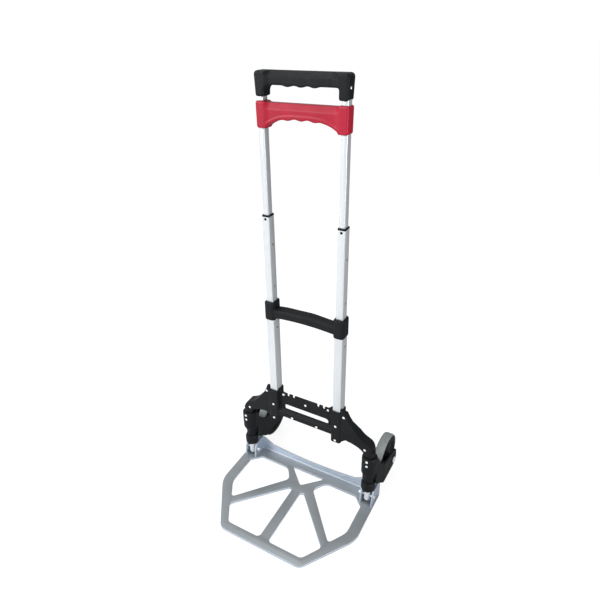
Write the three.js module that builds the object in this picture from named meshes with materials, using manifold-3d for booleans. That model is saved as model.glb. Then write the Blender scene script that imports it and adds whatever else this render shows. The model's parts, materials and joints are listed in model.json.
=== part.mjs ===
// Folding hand truck with a two-stage telescoping handle, modelled in millimetres.
// +Z is up, -Y is the front (the toe plate's side) and X runs across the truck.
// The origin is on the floor, midway between the two handle tubes.

import * as THREE from "three";
import { mergeVertices } from "three/addons/utils/BufferGeometryUtils.js";
import Module from "manifold-3d";

const wasm = await Module();
wasm.setup();

// ---- Driving dimensions ----

const GAP = 0.3; // clearance between pieces that touch
const OVERCUT = 2; // how far a cutting tool runs past the surface it opens

const TUBE_X = 86; // each handle tube's distance from the middle plane
const TUBE_CORNER = 1.6; // outside corner radius of the tubes
const TUBE_WALL = 1;
const OUTER_TUBE = { width: 20, depth: 26, bottom: 184, top: 514 };
const MIDDLE_TUBE = { width: 16.4, depth: 21.4, bottom: 432, top: 718.4 };
const INNER_TUBE = { width: 12.4, depth: 17, bottom: 636, top: 984 };
const LATCH_HOLE_RADIUS = 2.2;
const MIDDLE_LATCH_HEIGHTS = [555, 655];
const OUTER_LATCH_HEIGHTS = [448];
const BUSH_LIP = 3; // visible height of the bush on top of each middle tube
const BUSH_SKIRT = 16;
const BUSH_PEG = { height: 713.6, radius: 2.9, stand: 0.6 };

const HANDLE = { top: 994.5, legBottom: 950.5, outer: 94.5, inner: 75, depth: 27, barBottom: 970.5 };
const SCREW = { height: 971, y: -2, pitRadius: 3.4, pitDepth: 2.2, slotWidth: 0.8 };
const GRIP = {
  top: 940.5, sleeveTop: 943, legBottom: 894.5, outer: 94.8, inner: 75, depth: 26, archTop: 914,
};
const FINGER_PITCH = 27;
const FINGER_BUMP = 2.4;
const EDGE_ROUNDING = 2.6; // on the handle's and the grip's front and back edges

const CROSSBAR = { bottom: 473.5, top: 518.5, width: 26, depth: 34 };
const CROSSBAR_BEAM = { bottom: 480.5, ridge: 500.5, rise: 5, bulge: 1.2, front: -15, back: 8 };

const SOCKET = { bottom: 176.5, top: 269.5, width: 26, depth: 34 };
const ARM = { front: -14.5, rootBack: 5.5, back: 14, top: 279, tip: 163.5 };
const WEB = { front: -6.5, back: -1.5, top: 264.5, bottom: 194.5 };
const WEB_SLOT = { halfLength: 62, bottom: 214, top: 230 };
const DRAIN_RADIUS = 3;
const HOOK = { x: 41.5, halfSpan: 10.5, depth: 9, slot: 5.8 };

const POST = { x: 172, y: -3, radius: 8, bottom: 13, top: 172 };
const ARM_RING = { radius: 13, top: 177 };
const KNUCKLE = { radius: 19, bottom: 97, flare: 112, top: 161.5 };
const NECK = { radius: 12.5, bottom: 80 };
const POST_COLLAR = { radius: 17, bottom: 48.6, shoulder: 52, top: 79.4 };

const WHEEL = { x: 172.3, y: 102.3, z: 65.4, radius: 61.4, width: 26 };
const RIM_RADIUS = 57;
const TYRE_SEAT_RADIUS = 51;
const AXLE_RADIUS = 5;
const BRACKET = { outer: 198.4, inner: 153.4, wall: 4.2, fold: 39, end: 145 };

const PLATE = { top: 6, sheet: 2.6, lip: 2.6, halfWidth: 192.5, front: -242, bend: 27.8 };
const FLANGE = { thickness: 3, middleTop: 23, top: 30.5, endTop: 45.5, reach: 124 };
const EAR = { thickness: 4, inner: 155.5, outer: 189.5, front: -16, top: 49.5 };
const HINGE = { y: POST.y, z: 27.5, radius: 2.4, headRadius: 3.6, tip: 149.6 };

const RIVET_RADIUS = 3.3;
const RIVET_HEIGHT = 1.5;

// Facets round the turned pieces.
const WHEEL_SIDES = 40;
const COLLAR_SIDES = 24;
const SHAFT_SIDES = 16;
const SMALL_SIDES = 12;
const SIDES = [["left", -1], ["right", 1]];

// ---- Materials ----

function material(colour, roughness, metalness) {
  return new THREE.MeshStandardMaterial({ color: colour, roughness, metalness });
}

const aluminium = material(0xd9dcdd, 0.34, 0.9);
const plateMetal = material(0x969ca1, 0.42, 0.85);
const steel = material(0xd2d4d6, 0.28, 0.95);
const blackPlastic = material(0x26292b, 0.55, 0);
const redPlastic = material(0xc8324a, 0.42, 0);
const tyreRubber = material(0x6c7070, 0.8, 0);

// ---- Solids: joining, cutting and basic shapes ----

function toSolid(geometry) {
  const bare = geometry.index ? geometry.toNonIndexed() : geometry.clone();
  bare.deleteAttribute("normal");
  bare.deleteAttribute("uv");
  const merged = mergeVertices(bare, 1e-4);
  return new wasm.Manifold(
    new wasm.Mesh({
      numProp: 3,
      vertProperties: new Float32Array(merged.attributes.position.array),
      triVerts: new Uint32Array(merged.index.array),
    }),
  );
}

function toGeometry(solid) {
  const mesh = solid.getMesh();
  const geometry = new THREE.BufferGeometry();
  geometry.setAttribute("position", new THREE.BufferAttribute(mesh.vertProperties, 3));
  geometry.setIndex(new THREE.BufferAttribute(mesh.triVerts, 1));
  geometry.computeVertexNormals();
  return geometry;
}

function join(...solids) {
  return solids.reduce((all, next) => all.add(next));
}

function cut(body, ...tools) {
  return tools.reduce((rest, tool) => rest.subtract(tool), body);
}

function box(x0, x1, y0, y1, z0, z1) {
  const geometry = new THREE.BoxGeometry(x1 - x0, y1 - y0, z1 - z0);
  return toSolid(geometry.translate((x0 + x1) / 2, (y0 + y1) / 2, (z0 + z1) / 2));
}

// A closed outline whose corners [x, y, radius] are rounded by arcs. A positive offset moves
// every side outwards and keeps the arcs concentric. Corners run anticlockwise.
function roundedOutline(corners, offset = 0, steps = 5) {
  const sharp = corners.map((corner, i) => {
    const before = corners[(i + corners.length - 1) % corners.length];
    const after = corners[(i + 1) % corners.length];
    const a = new THREE.Vector2(corner[0] - before[0], corner[1] - before[1]).normalize();
    const b = new THREE.Vector2(after[0] - corner[0], after[1] - corner[1]).normalize();
    const turn = Math.atan2(a.cross(b), a.dot(b));
    const mitre = new THREE.Vector2(a.y + b.y, -a.x - b.x).normalize();
    const centre = new THREE.Vector2(corner[0], corner[1]);
    centre.addScaledVector(mitre, offset / Math.cos(turn / 2));
    const radius = Math.max(corner[2] + Math.sign(turn) * offset, 0);
    return { centre, a, b, turn, radius };
  });
  const points = [];
  for (const { centre, a, b, turn, radius } of sharp) {
    if (radius < 0.05) {
      points.push(centre);
      continue;
    }
    const reach = radius * Math.tan(Math.abs(turn) / 2);
    const start = centre.clone().addScaledVector(a, -reach);
    const side = Math.sign(turn);
    const hub = start.clone().add(new THREE.Vector2(-a.y, a.x).multiplyScalar(side * radius));
    for (let i = 0; i <= steps; i += 1) {
      points.push(start.clone().rotateAround(hub, (turn * i) / steps));
    }
  }
  return new THREE.Shape(points);
}

function rectangle(x0, x1, y0, y1, radius = 0) {
  return [[x0, y0, radius], [x1, y0, radius], [x1, y1, radius], [x0, y1, radius]];
}

function extrudeUp(shape, z0, z1) {
  const geometry = new THREE.ExtrudeGeometry(shape, { depth: z1 - z0, bevelEnabled: false });
  return toSolid(geometry.translate(0, 0, z0));
}

// Extrudes a front-view outline (x, z) from y0 to y1, with its front and back edges rounded.
function extrudeBack(shape, y0, y1, rounding = 0, segments = 2, curveSegments = 8) {
  const geometry = new THREE.ExtrudeGeometry(shape, {
    depth: y1 - y0 - 2 * rounding,
    bevelEnabled: rounding > 0,
    bevelThickness: rounding,
    bevelSize: rounding,
    bevelOffset: -rounding,
    bevelSegments: segments,
    curveSegments,
  });
  geometry.rotateX(Math.PI / 2);
  return toSolid(geometry.translate(0, y1 - rounding, 0));
}

// Extrudes a side-view outline (y, z) from x0 to x1.
function extrudeAcross(shape, x0, x1) {
  const geometry = new THREE.ExtrudeGeometry(shape, { depth: x1 - x0, bevelEnabled: false });
  geometry.rotateX(Math.PI / 2);
  geometry.rotateZ(Math.PI / 2);
  return toSolid(geometry.translate(x0, 0, 0));
}

function uprightCylinder(x, y, radius, z0, z1, sides = COLLAR_SIDES) {
  const geometry = new THREE.CylinderGeometry(radius, radius, z1 - z0, sides);
  geometry.rotateX(Math.PI / 2);
  return toSolid(geometry.translate(x, y, (z0 + z1) / 2));
}

function crossCylinder(x0, x1, y, z, radius, sides = SMALL_SIDES) {
  const geometry = new THREE.CylinderGeometry(radius, radius, x1 - x0, sides);
  geometry.rotateZ(Math.PI / 2);
  return toSolid(geometry.translate((x0 + x1) / 2, y, z));
}

function turned(profile, sides) {
  const points = profile.map(([radius, height]) => new THREE.Vector2(radius, height));
  return new THREE.LatheGeometry(points, sides);
}

// A turned piece whose axis runs along X, from a closed [radius, x] profile.
function turnedAcross(profile, x, y, z, sides) {
  const geometry = turned(profile, sides).rotateZ(-Math.PI / 2);
  return toSolid(geometry.translate(x, y, z));
}

// A turned piece whose axis is upright, from a closed [radius, z] profile.
function turnedUpright(profile, x, y, sides) {
  const geometry = turned(profile, sides).rotateX(Math.PI / 2);
  return toSolid(geometry.translate(x, y, 0));
}

// Pieces that come in pairs are drawn on the right and mirrored to the left.
function onSide(solid, side) {
  return side > 0 ? solid : solid.mirror([1, 0, 0]);
}

// ---- Telescoping tubes ----

function tube({ width, depth, bottom, top }, side, latchHeights, extraHoles = []) {
  const x = side * TUBE_X;
  const outside = rectangle(x - width / 2, x + width / 2, -depth / 2, depth / 2, TUBE_CORNER);
  const shell = extrudeUp(roundedOutline(outside, 0, 3), bottom, top);
  const bore = extrudeUp(roundedOutline(outside, -TUBE_WALL, 2), bottom - OVERCUT, top + OVERCUT);
  const latches = latchHeights.map((z) =>
    crossCylinder(x + width / 2 - 2 * TUBE_WALL, x + width / 2 + OVERCUT, 1.5, z, LATCH_HOLE_RADIUS),
  );
  return cut(shell, bore, ...latches, ...extraHoles);
}

function pegHole(side) {
  const face = -MIDDLE_TUBE.depth / 2;
  const hole = new THREE.CylinderGeometry(BUSH_PEG.radius, BUSH_PEG.radius, 4 * TUBE_WALL, SMALL_SIDES);
  return toSolid(hole.translate(side * TUBE_X, face, BUSH_PEG.height));
}

// The bush that guides the inner tube: a lip on the tube's end, a thin skirt inside it and
// a peg that snaps into the tube's front wall.
function bush(side) {
  const x = side * TUBE_X;
  const { width, depth, top } = MIDDLE_TUBE;
  const lipBottom = top + GAP;
  const lipTop = lipBottom + BUSH_LIP;
  const outside = rectangle(x - width / 2, x + width / 2, -depth / 2, depth / 2, TUBE_CORNER);
  const boreOutline = rectangle(
    x - INNER_TUBE.width / 2 - GAP, x + INNER_TUBE.width / 2 + GAP,
    -INNER_TUBE.depth / 2 - GAP, INNER_TUBE.depth / 2 + GAP, TUBE_CORNER,
  );
  const lip = extrudeUp(roundedOutline(outside, GAP, 3), lipBottom, lipTop);
  const skirt = extrudeUp(
    roundedOutline(outside, -TUBE_WALL - GAP, 2), lipBottom - BUSH_SKIRT, lipTop,
  );
  const face = -depth / 2;
  const pegLength = BUSH_PEG.stand + TUBE_WALL + 2 * GAP;
  const pegRadius = BUSH_PEG.radius - GAP;
  const peg = new THREE.CylinderGeometry(pegRadius, pegRadius, pegLength, SMALL_SIDES);
  peg.translate(x, face + pegLength / 2 - BUSH_PEG.stand, BUSH_PEG.height);
  const bore = extrudeUp(
    roundedOutline(boreOutline, 0, 2), lipBottom - BUSH_SKIRT - OVERCUT, lipTop + OVERCUT,
  );
  return cut(join(lip, skirt, toSolid(peg)), bore);
}

// ---- Handle and release grip ----

// Points of a finger-scalloped edge from x = half to x = -half, with its bumps pointing down.
function scallops(half, height, bumps, steps) {
  const points = [];
  const reach = ((bumps - 0.5) * FINGER_PITCH) / 2 + FINGER_PITCH / 4;
  for (let i = 0; i <= steps; i += 1) {
    const x = half - (2 * half * i) / steps;
    const inside = Math.abs(x) < reach;
    const wave = inside ? 0.5 + 0.5 * Math.cos((2 * Math.PI * x) / FINGER_PITCH) : 0;
    points.push([x, height(x) - FINGER_BUMP * wave]);
  }
  return points;
}

function socketCutter(side, bottom, top) {
  const x = side * TUBE_X;
  const { width, depth } = INNER_TUBE;
  const outline = rectangle(x - width / 2, x + width / 2, -depth / 2, depth / 2, TUBE_CORNER);
  return extrudeUp(roundedOutline(outline, GAP, 2), bottom, top);
}

function handle() {
  const { top, legBottom, outer, inner, barBottom } = HANDLE;
  const grip = scallops(inner - 14, () => barBottom, 3, 28);
  const corners = [
    [outer - 1.5, legBottom, 4], [outer + 0.8, top, 7], [-outer - 0.8, top, 7], [1.5 - outer, legBottom, 4],
    [-inner, legBottom, 4], [-inner, barBottom, 12],
    ...grip.reverse().map(([x, z]) => [x, z, 0]),
    [inner, barBottom, 4], [inner, legBottom, 4],
  ];
  const front = -HANDLE.depth / 2;
  const body = extrudeBack(roundedOutline(corners, 0, 4), front, -front, EDGE_ROUNDING);
  // A bevel runs along the bar's upper front edge, between the two legs.
  const bevel = roundedOutline([
    [front - OVERCUT, top - 9, 0], [front + 8.5, top + 1.5, 0], [front - OVERCUT, top + 4, 0],
  ]);
  const band = extrudeAcross(bevel, 14 - inner, inner - 14);
  const sockets = SIDES.map(([, side]) => socketCutter(side, legBottom - OVERCUT, INNER_TUBE.top + GAP));
  const screwPits = SIDES.map(([, side]) => {
    const reach = side * (outer - SCREW.pitDepth);
    const [x0, x1] = [reach, side * (outer + OVERCUT)].sort((a, b) => a - b);
    return crossCylinder(x0, x1, SCREW.y, SCREW.height, SCREW.pitRadius);
  });
  return cut(body, band, ...sockets, ...screwPits);
}

function handleScrew(side) {
  const seat = HANDLE.outer - SCREW.pitDepth + GAP;
  const head = turnedAcross([
    [0, seat], [2.9, seat], [2.9, seat + 0.9], [1.9, seat + 1.7], [0, seat + 1.9],
  ], 0, SCREW.y, SCREW.height, SMALL_SIDES);
  const halfSlot = SCREW.slotWidth / 2;
  const slot = box(
    seat + 1.1, seat + 3, SCREW.y - halfSlot, SCREW.y + halfSlot,
    SCREW.height - SCREW.pitRadius, SCREW.height + SCREW.pitRadius,
  );
  return onSide(cut(head, slot), side);
}

function releaseGrip() {
  const { top, sleeveTop, legBottom, outer, inner, archTop } = GRIP;
  const arch = (x) => archTop - 17 * Math.pow(Math.abs(x) / inner, 3.2);
  const edge = scallops(inner - 5, arch, 3, 30);
  const corners = [
    [outer - 0.8, legBottom, 4], [outer, sleeveTop, 3.4], [inner + 2, sleeveTop, 0], [inner - 3, top, 3],
    [3 - inner, top, 3], [-inner - 2, sleeveTop, 0], [-outer, sleeveTop, 3.4], [0.8 - outer, legBottom, 4],
    [-inner, legBottom, 0],
    ...edge.reverse().map(([x, z]) => [x, z, 0]),
    [inner, legBottom, 0],
  ];
  const front = -GRIP.depth / 2;
  const body = extrudeBack(roundedOutline(corners, 0, 4), front, -front, EDGE_ROUNDING);
  const sockets = SIDES.map(([, side]) => socketCutter(side, legBottom - OVERCUT, sleeveTop + OVERCUT));
  return cut(body, ...sockets);
}

// ---- Sleeves shared by the crossbar and the lower body ----

function sleeve({ bottom, top, width, depth }, side) {
  const x = side * TUBE_X;
  const outline = rectangle(x - width / 2, x + width / 2, -depth / 2, depth / 2, 5);
  return extrudeUp(roundedOutline(outline, 0, 4), bottom, top);
}

function outerTubeCutter(side, bottom, top) {
  const x = side * TUBE_X;
  const { width, depth } = OUTER_TUBE;
  const outline = rectangle(x - width / 2, x + width / 2, -depth / 2, depth / 2, TUBE_CORNER);
  return extrudeUp(roundedOutline(outline, GAP, 2), bottom, top);
}

function crossbar() {
  const { bottom, ridge, rise, bulge, front, back } = CROSSBAR_BEAM;
  const inner = TUBE_X - CROSSBAR.width / 2 + 3;
  const steps = 12;
  const pieces = [];
  // The beam is arched: it rises towards the middle, where its front also bulges a little.
  for (let i = 0; i < steps; i += 1) {
    const ends = [i, i + 1].map((n) => -inner + (2 * inner * n) / steps);
    const sections = ends.map((x) => {
      const swell = 1 - (x / inner) ** 2;
      const low = bottom + rise * swell;
      const top = ridge + rise * swell;
      const face = front - bulge * swell;
      return [
        [x, face + 1.2, low], [x, face, low + 1.5], [x, face, top - 1.6],
        [x, face + 1.6, top], [x, back - 5, top + 4], [x, back, top],
        [x, back, low + 1.5], [x, back - 1.2, low],
      ];
    });
    pieces.push(loft(sections));
  }
  const sleeves = SIDES.map(([, side]) => sleeve(CROSSBAR, side));
  const bores = SIDES.map(([, side]) =>
    outerTubeCutter(side, CROSSBAR.bottom - OVERCUT, OUTER_TUBE.top + GAP),
  );
  const guides = SIDES.map(([, side]) => {
    const x = side * TUBE_X;
    const { width, depth } = MIDDLE_TUBE;
    const outline = rectangle(x - width / 2, x + width / 2, -depth / 2, depth / 2, TUBE_CORNER);
    return extrudeUp(roundedOutline(outline, GAP, 2), OUTER_TUBE.top - OVERCUT, CROSSBAR.top + OVERCUT);
  });
  return cut(join(...pieces, ...sleeves), ...bores, ...guides);
}

// A closed solid between two outlines with the same number of points.
function loft([first, second]) {
  const count = first.length;
  const positions = [...first, ...second].flat();
  const faces = [];
  for (let i = 0; i < count; i += 1) {
    const next = (i + 1) % count;
    faces.push(i, i + count, next, next, i + count, next + count);
  }
  for (let i = 1; i < count - 1; i += 1) {
    faces.push(0, i, i + 1, count, count + i + 1, count + i);
  }
  const geometry = new THREE.BufferGeometry();
  geometry.setAttribute("position", new THREE.Float32BufferAttribute(positions, 3));
  geometry.setIndex(faces);
  return toSolid(geometry);
}

// ---- Lower body ----

// The arm is a plate at the socket and thickens towards the post it holds.
function arm(side) {
  const outline = new THREE.Shape();
  outline.moveTo(98, ARM.top);
  outline.lineTo(104.5, ARM.top);
  outline.bezierCurveTo(109, 260, 117, 248, 130, 232);
  outline.bezierCurveTo(143, 214, 150, 207, 163, 202);
  outline.bezierCurveTo(174, 198, 180.5, 190, 180.5, ARM.tip);
  outline.lineTo(159, ARM.tip);
  outline.lineTo(159, 172);
  outline.bezierCurveTo(156, 177, 147, 188, 112, 191.5);
  outline.lineTo(98, 180);
  const thick = extrudeBack(outline, ARM.front, ARM.back, 1, 1, 6);
  const thinning = roundedOutline([
    [90, ARM.rootBack, 0], [122, ARM.rootBack, 0], [142, ARM.back + GAP, 0], [90, ARM.back + GAP, 0],
  ]);
  const slope = roundedOutline([
    [-8, ARM.top, 0], [ARM.back, ARM.top - 22, 0], [ARM.back + OVERCUT, ARM.top + OVERCUT, 0],
    [-8, ARM.top + OVERCUT, 0],
  ]);
  const { x, y } = POST;
  const ring = uprightCylinder(x, y, ARM_RING.radius, ARM.tip, ARM_RING.top);
  const postBore = uprightCylinder(x, y, POST.radius + GAP, ARM.tip - OVERCUT, POST.top + GAP);
  const tools = [extrudeUp(thinning, ARM.tip - OVERCUT, ARM.top), extrudeAcross(slope, 90, 125)];
  const shaped = join(cut(thick, ...tools), ring);
  return onSide(cut(shaped, postBore), side);
}

function webPlate() {
  const half = TUBE_X - 6;
  const { top, bottom, front, back } = WEB;
  const shoulder = [TUBE_X - SOCKET.width / 2 - 3, top + 8];
  const outline = [
    [-half, bottom, 0], [half, bottom, 0], [half, shoulder[1], 0],
    [shoulder[0], shoulder[1], 3], [shoulder[0] - 8, top, 6],
    [8 - shoulder[0], top, 6], [-shoulder[0], shoulder[1], 3], [-half, shoulder[1], 0],
  ];
  const plate = extrudeBack(roundedOutline(outline, 0, 3), front, back);
  const opening = rectangle(
    -WEB_SLOT.halfLength, WEB_SLOT.halfLength, WEB_SLOT.bottom, WEB_SLOT.top, 7,
  );
  const slot = extrudeBack(roundedOutline(opening, 0, 4), front - OVERCUT, back + OVERCUT);
  const hooks = [-1, 1].flatMap((side) => {
    const near = side * (HOOK.x - HOOK.halfSpan + HOOK.slot / 2);
    const far = side * (HOOK.x + HOOK.halfSpan - HOOK.slot / 2);
    return [near, far].map((x) => {
      const notch = rectangle(x - HOOK.slot / 2, x + HOOK.slot / 2, top - HOOK.depth, top + 6, 2.4);
      return extrudeBack(roundedOutline(notch, 0, 3), front - 12, back + OVERCUT);
    });
  });
  return cut(plate, slot, ...hooks);
}

function lowerBeam() {
  const half = TUBE_X - 6;
  const section = roundedOutline([
    [ARM.front, WEB.bottom, 1.5], [WEB.back, WEB.bottom, 0], [WEB.back, WEB_SLOT.bottom, 0],
    [WEB.front, WEB_SLOT.bottom, 0], [ARM.front, WEB.bottom + 13, 2],
  ], 0, 2);
  return extrudeAcross(section, -half, half);
}

function lowerBody() {
  const sleeves = SIDES.map(([, side]) => sleeve(SOCKET, side));
  const arms = SIDES.map(([, side]) => arm(side));
  const tubes = SIDES.map(([, side]) =>
    outerTubeCutter(side, OUTER_TUBE.bottom - GAP, ARM.top + OVERCUT),
  );
  const drains = SIDES.map(([, side]) =>
    uprightCylinder(
      side * TUBE_X, 0, DRAIN_RADIUS, SOCKET.bottom - OVERCUT, OUTER_TUBE.bottom, SMALL_SIDES,
    ),
  );
  return cut(join(webPlate(), lowerBeam(), ...sleeves, ...arms), ...tubes, ...drains);
}

// ---- Posts, wheel brackets and wheels ----

function post(side) {
  const { x, y, radius, bottom, top } = POST;
  const shaft = turnedUpright([
    [0, bottom], [radius - 3.5, bottom], [radius - 1, bottom + 1], [radius, bottom + 3.5],
    [radius, top], [0, top],
  ], side * x, y, COLLAR_SIDES);
  const reach = radius + OVERCUT;
  const pinHole = crossCylinder(side * x - reach, side * x + reach, HINGE.y, HINGE.z, HINGE.radius + GAP);
  return cut(shaft, pinHole);
}

// Below its shoulder the collar narrows, so that it clears the ears on both sides of it.
function postCollar(side) {
  const { radius, bottom, shoulder, top } = POST_COLLAR;
  const bore = POST.radius + GAP;
  return turnedUpright([
    [bore, bottom], [radius - 5.1, bottom], [radius - 4.7, shoulder - 1.8], [radius - 1.2, shoulder],
    [radius, shoulder + 4], [radius, top - 6], [radius - 2.6, top], [bore, top], [bore, bottom],
  ], side * POST.x, POST.y, COLLAR_SIDES);
}

// A fork: an arm on each side of the wheel, on a knuckle that turns about the post.
function wheelBracket(side) {
  const { outer, inner, wall, fold, end } = BRACKET;
  const knuckle = turnedUpright([
    [0, NECK.bottom], [NECK.radius, NECK.bottom], [NECK.radius, KNUCKLE.bottom],
    [KNUCKLE.radius, KNUCKLE.flare], [KNUCKLE.radius, KNUCKLE.top - 3],
    [KNUCKLE.radius - 3, KNUCKLE.top], [0, KNUCKLE.top],
  ], POST.x, POST.y, COLLAR_SIDES);
  // Seen from above, the outer web leaves the knuckle and bends into the arm beside the wheel.
  const outerPlan = roundedOutline([
    [POST.x + 4, POST.y - 15.5, 0], [POST.x + 16, POST.y - 10, 5], [outer, fold, 3], [outer, end, 0],
    [outer - wall, end, 0], [outer - wall, fold - 3, 4], [POST.x + 10, POST.y + 12, 4],
    [POST.x, POST.y + 10, 0],
  ], 0, 3);
  // The inner arm runs straight back, close to the wheel.
  const innerPlan = roundedOutline([
    [POST.x - 4, POST.y - 11, 0], [POST.x - 4, POST.y + 11, 0], [inner + wall, POST.y + 13, 3],
    [inner + wall, end, 0], [inner, end, 0], [inner, POST.y + 3, 8], [inner + 3, POST.y - 9, 3],
  ], 0, 3);
  const sheet = join(extrudeUp(outerPlan, 30, 165), extrudeUp(innerPlan, 30, 165));
  // Seen from the side, both arms dip behind the knuckle and taper to a round end about the axle.
  const profile = roundedOutline([
    [POST.y - 20, NECK.bottom, 0], [POST.y + 6, 71, 6], [fold, 42, 5], [WHEEL.y + 8, 39, 24],
    [WHEEL.y + 30, 45, 18], [WHEEL.y + 22, 88, 20], [38, 108, 14], [13, 134, 10],
    [POST.y + 8, 157, 4], [POST.y - 20, 157, 0],
  ], 0, 6);
  const collarRoom = uprightCylinder(
    POST.x, POST.y, POST_COLLAR.radius + 2 * GAP, NECK.bottom / 2, POST_COLLAR.top + GAP,
  );
  // In front of the neck both arms are cut away, up to where the knuckle reaches its full width.
  const neckRoom = box(
    inner - OVERCUT, outer + OVERCUT, POST.y - 30, POST.y + 6, NECK.bottom / 2, KNUCKLE.flare - 2,
  );
  const sides = sheet.intersect(extrudeAcross(profile, inner - OVERCUT, outer + OVERCUT));
  const arms = cut(sides, collarRoom, neckRoom);
  const boss = crossCylinder(
    WHEEL.x + WHEEL.width / 2 + 3 * GAP, outer + 1.6, WHEEL.y, WHEEL.z, AXLE_RADIUS + 6, COLLAR_SIDES,
  );
  const postBore = uprightCylinder(POST.x, POST.y, POST.radius + GAP, 20, 180);
  const axleBore = crossCylinder(inner - OVERCUT, outer + 10, WHEEL.y, WHEEL.z, AXLE_RADIUS + GAP);
  const solid = cut(join(knuckle, arms, boss), postBore, axleBore);
  return onSide(solid, side);
}

function axle(side) {
  const tip = BRACKET.inner + GAP;
  const seat = BRACKET.outer + 1.6 + GAP;
  const solid = turnedAcross([
    [0, tip], [AXLE_RADIUS - 1, tip], [AXLE_RADIUS, tip + 1],
    [AXLE_RADIUS, seat], [AXLE_RADIUS + 3.4, seat], [AXLE_RADIUS + 3.4, seat + 1.6],
    [AXLE_RADIUS, seat + 3.2], [0, seat + 3.4],
  ], 0, WHEEL.y, WHEEL.z, SHAFT_SIDES);
  return onSide(solid, side);
}

// Profiles of the wheel run from its inner face to its outer face, as [radius, x offset].
function wheelHub(side) {
  const half = WHEEL.width / 2;
  const bore = AXLE_RADIUS + GAP;
  const profile = [
    [bore, -half], [13, -half], [15, 5 - half], [43.5, 5 - half], [46.5, 0.8 - half],
    [RIM_RADIUS, 0.8 - half], [RIM_RADIUS, 3 - half],
    [TYRE_SEAT_RADIUS, 4 - half], [TYRE_SEAT_RADIUS, half - 4], [RIM_RADIUS, half - 3],
    [RIM_RADIUS, half - 0.8], [46.5, half - 0.8], [43.5, half - 5],
    [15, half - 5], [13, half], [bore, half], [bore, -half],
  ];
  return turnedAcross(profile, side * WHEEL.x, WHEEL.y, WHEEL.z, WHEEL_SIDES);
}

function tyre(side) {
  const half = WHEEL.width / 2;
  const seat = TYRE_SEAT_RADIUS + GAP;
  const rim = RIM_RADIUS + GAP;
  const { radius } = WHEEL;
  const profile = [
    [seat, 4.4 - half], [rim, 3.4 - half], [rim + 0.3, 1.2 - half], [radius - 0.8, 1.6 - half],
    [radius, 5 - half], [radius, half - 5], [radius - 0.8, half - 1.6], [rim + 0.3, half - 1.2],
    [rim, half - 3.4], [seat, half - 4.4], [seat, 4.4 - half],
  ];
  return turnedAcross(profile, side * WHEEL.x, WHEEL.y, WHEEL.z, WHEEL_SIDES);
}

// ---- Toe plate ----

const PLATE_OUTLINE = [
  [108.6, PLATE.front, 25], [PLATE.halfWidth, -120, 70], [PLATE.halfWidth, PLATE.bend, 0],
  [-PLATE.halfWidth, PLATE.bend, 0], [-PLATE.halfWidth, -120, 70], [-108.6, PLATE.front, 25],
];
const SIDE_OPENING = [
  [138, -156, 6], [165, -112, 40], [165, -27, 8], [141, -3.5, 8], [58, -3.5, 22], [35.5, -37, 13],
];
const FRONT_OPENING = [
  [12, -220, 10], [101, -220, 14], [130, -175, 10], [12, -50.5, 7],
];
const BACK_OPENING = [[0, -41, 5], [48, 6, 3], [-48, 6, 3]];

function mirrored(corners) {
  return corners.map(([x, y, radius]) => [-x, y, radius]).reverse();
}

function plateEar(x0, x1) {
  const outline = roundedOutline([
    [EAR.front, PLATE.top - 3, 0], [PLATE.bend + 1, PLATE.top - 3, 0], [PLATE.bend + 1, FLANGE.endTop, 0],
    [22, EAR.top, 4], [-5, EAR.top, 5], [EAR.front + 4, 35, 6],
  ], 0, 4);
  return extrudeAcross(outline, x0, x1);
}

function toePlate() {
  const openings = [
    SIDE_OPENING, mirrored(SIDE_OPENING), FRONT_OPENING, mirrored(FRONT_OPENING), BACK_OPENING,
  ];
  const blank = extrudeUp(roundedOutline(PLATE_OUTLINE, 0, 6), 0, PLATE.top);
  const pocketFloor = extrudeUp(
    roundedOutline(PLATE_OUTLINE, -PLATE.lip, 6), -OVERCUT, PLATE.top - PLATE.sheet,
  );
  const lips = openings.map((corners) =>
    extrudeUp(roundedOutline(corners, PLATE.lip, 4), -2 * OVERCUT, PLATE.top),
  );
  const holes = openings.map((corners) =>
    extrudeUp(roundedOutline(corners, 0, 4), -OVERCUT, PLATE.top + OVERCUT),
  );
  // The flange along the back is taller at its ends, where it runs into the hinge ears, and its
  // top edge dips in a shallow curve between them.
  const half = PLATE.halfWidth;
  const { middleTop, reach } = FLANGE;
  const steps = 12;
  const dip = [];
  for (let i = 0; i <= steps; i += 1) {
    const x = reach * (1 - (2 * i) / steps);
    const rounding = i === 0 || i === steps ? 14 : 0;
    dip.push([x, middleTop + (FLANGE.top - middleTop) * (x / reach) ** 2, rounding]);
  }
  const flangeOutline = [
    [-half, 2, 0], [half, 2, 0], [half, FLANGE.endTop, 4], [150, FLANGE.endTop, 8],
    ...dip, [-150, FLANGE.endTop, 8], [-half, FLANGE.endTop, 4],
  ];
  const flange = extrudeBack(
    roundedOutline(flangeOutline, 0, 4), PLATE.bend, PLATE.bend + FLANGE.thickness,
  );
  const ears = SIDES.flatMap(([, side]) => {
    const near = side * EAR.inner;
    const far = side * (EAR.outer - EAR.thickness);
    return [near, far].map((x) => plateEar(...[x, x + side * EAR.thickness].sort((a, b) => a - b)));
  });
  const pins = SIDES.map(([, side]) => {
    const [x0, x1] = [side * (EAR.inner - OVERCUT), side * (EAR.outer + OVERCUT)].sort((a, b) => a - b);
    return crossCylinder(x0, x1, HINGE.y, HINGE.z, HINGE.radius + GAP);
  });
  const sheet = cut(cut(blank, cut(pocketFloor, ...lips)), ...holes);
  return cut(join(sheet, flange, ...ears), ...pins);
}

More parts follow.
